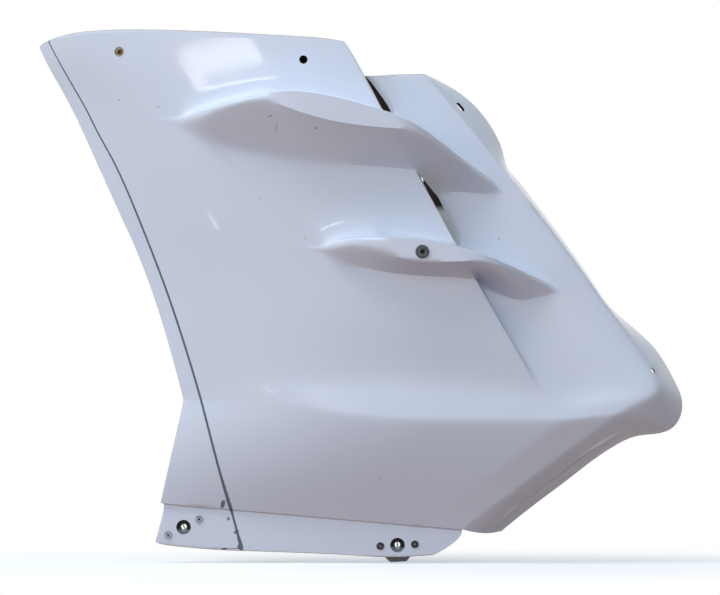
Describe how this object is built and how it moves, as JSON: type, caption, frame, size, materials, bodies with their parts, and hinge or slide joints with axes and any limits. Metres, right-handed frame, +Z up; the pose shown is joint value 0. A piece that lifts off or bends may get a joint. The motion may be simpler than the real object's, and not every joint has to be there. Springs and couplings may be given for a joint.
{
  "type": "fairing side panel",
  "caption": "Motorbike fairing side panel in painted glass fibre, with hollow fins bridging its vents, a joggled fixing strip with quarter-turn receptacles and folded edges.",
  "frame": {"origin": "middle of the fixing strip's outer face, midway between its two quarter-turn holes", "axes": "+Z up as fitted to the bike, -Y out of the outer face, -X towards the front of the bike"},
  "size_m": [0.6498, 0.1214, 0.5353],
  "materials": {
    "paint": "white gloss paint on glass fibre laminate",
    "zinc": "zinc-plated steel",
    "rivet_alloy": "plain aluminium",
    "brass": "plain brass",
    "black_steel": "black oxide"
  },
  "bodies": {
    "root": {"panel_shell": "paint", "receptacle_plate_front": "zinc", "receptacle_plate_rear": "zinc", "receptacle_spring_front": "zinc", "receptacle_spring_rear": "zinc", "rivet_front_a": "rivet_alloy", "rivet_front_b": "rivet_alloy", "rivet_rear_a": "rivet_alloy", "rivet_rear_b": "rivet_alloy", "captive_nut_front": "brass", "captive_nut_rear": "brass", "fin_screw": "black_steel", "fin_washer": "zinc", "fin_nut": "zinc"}
  },
  "joints": []
}
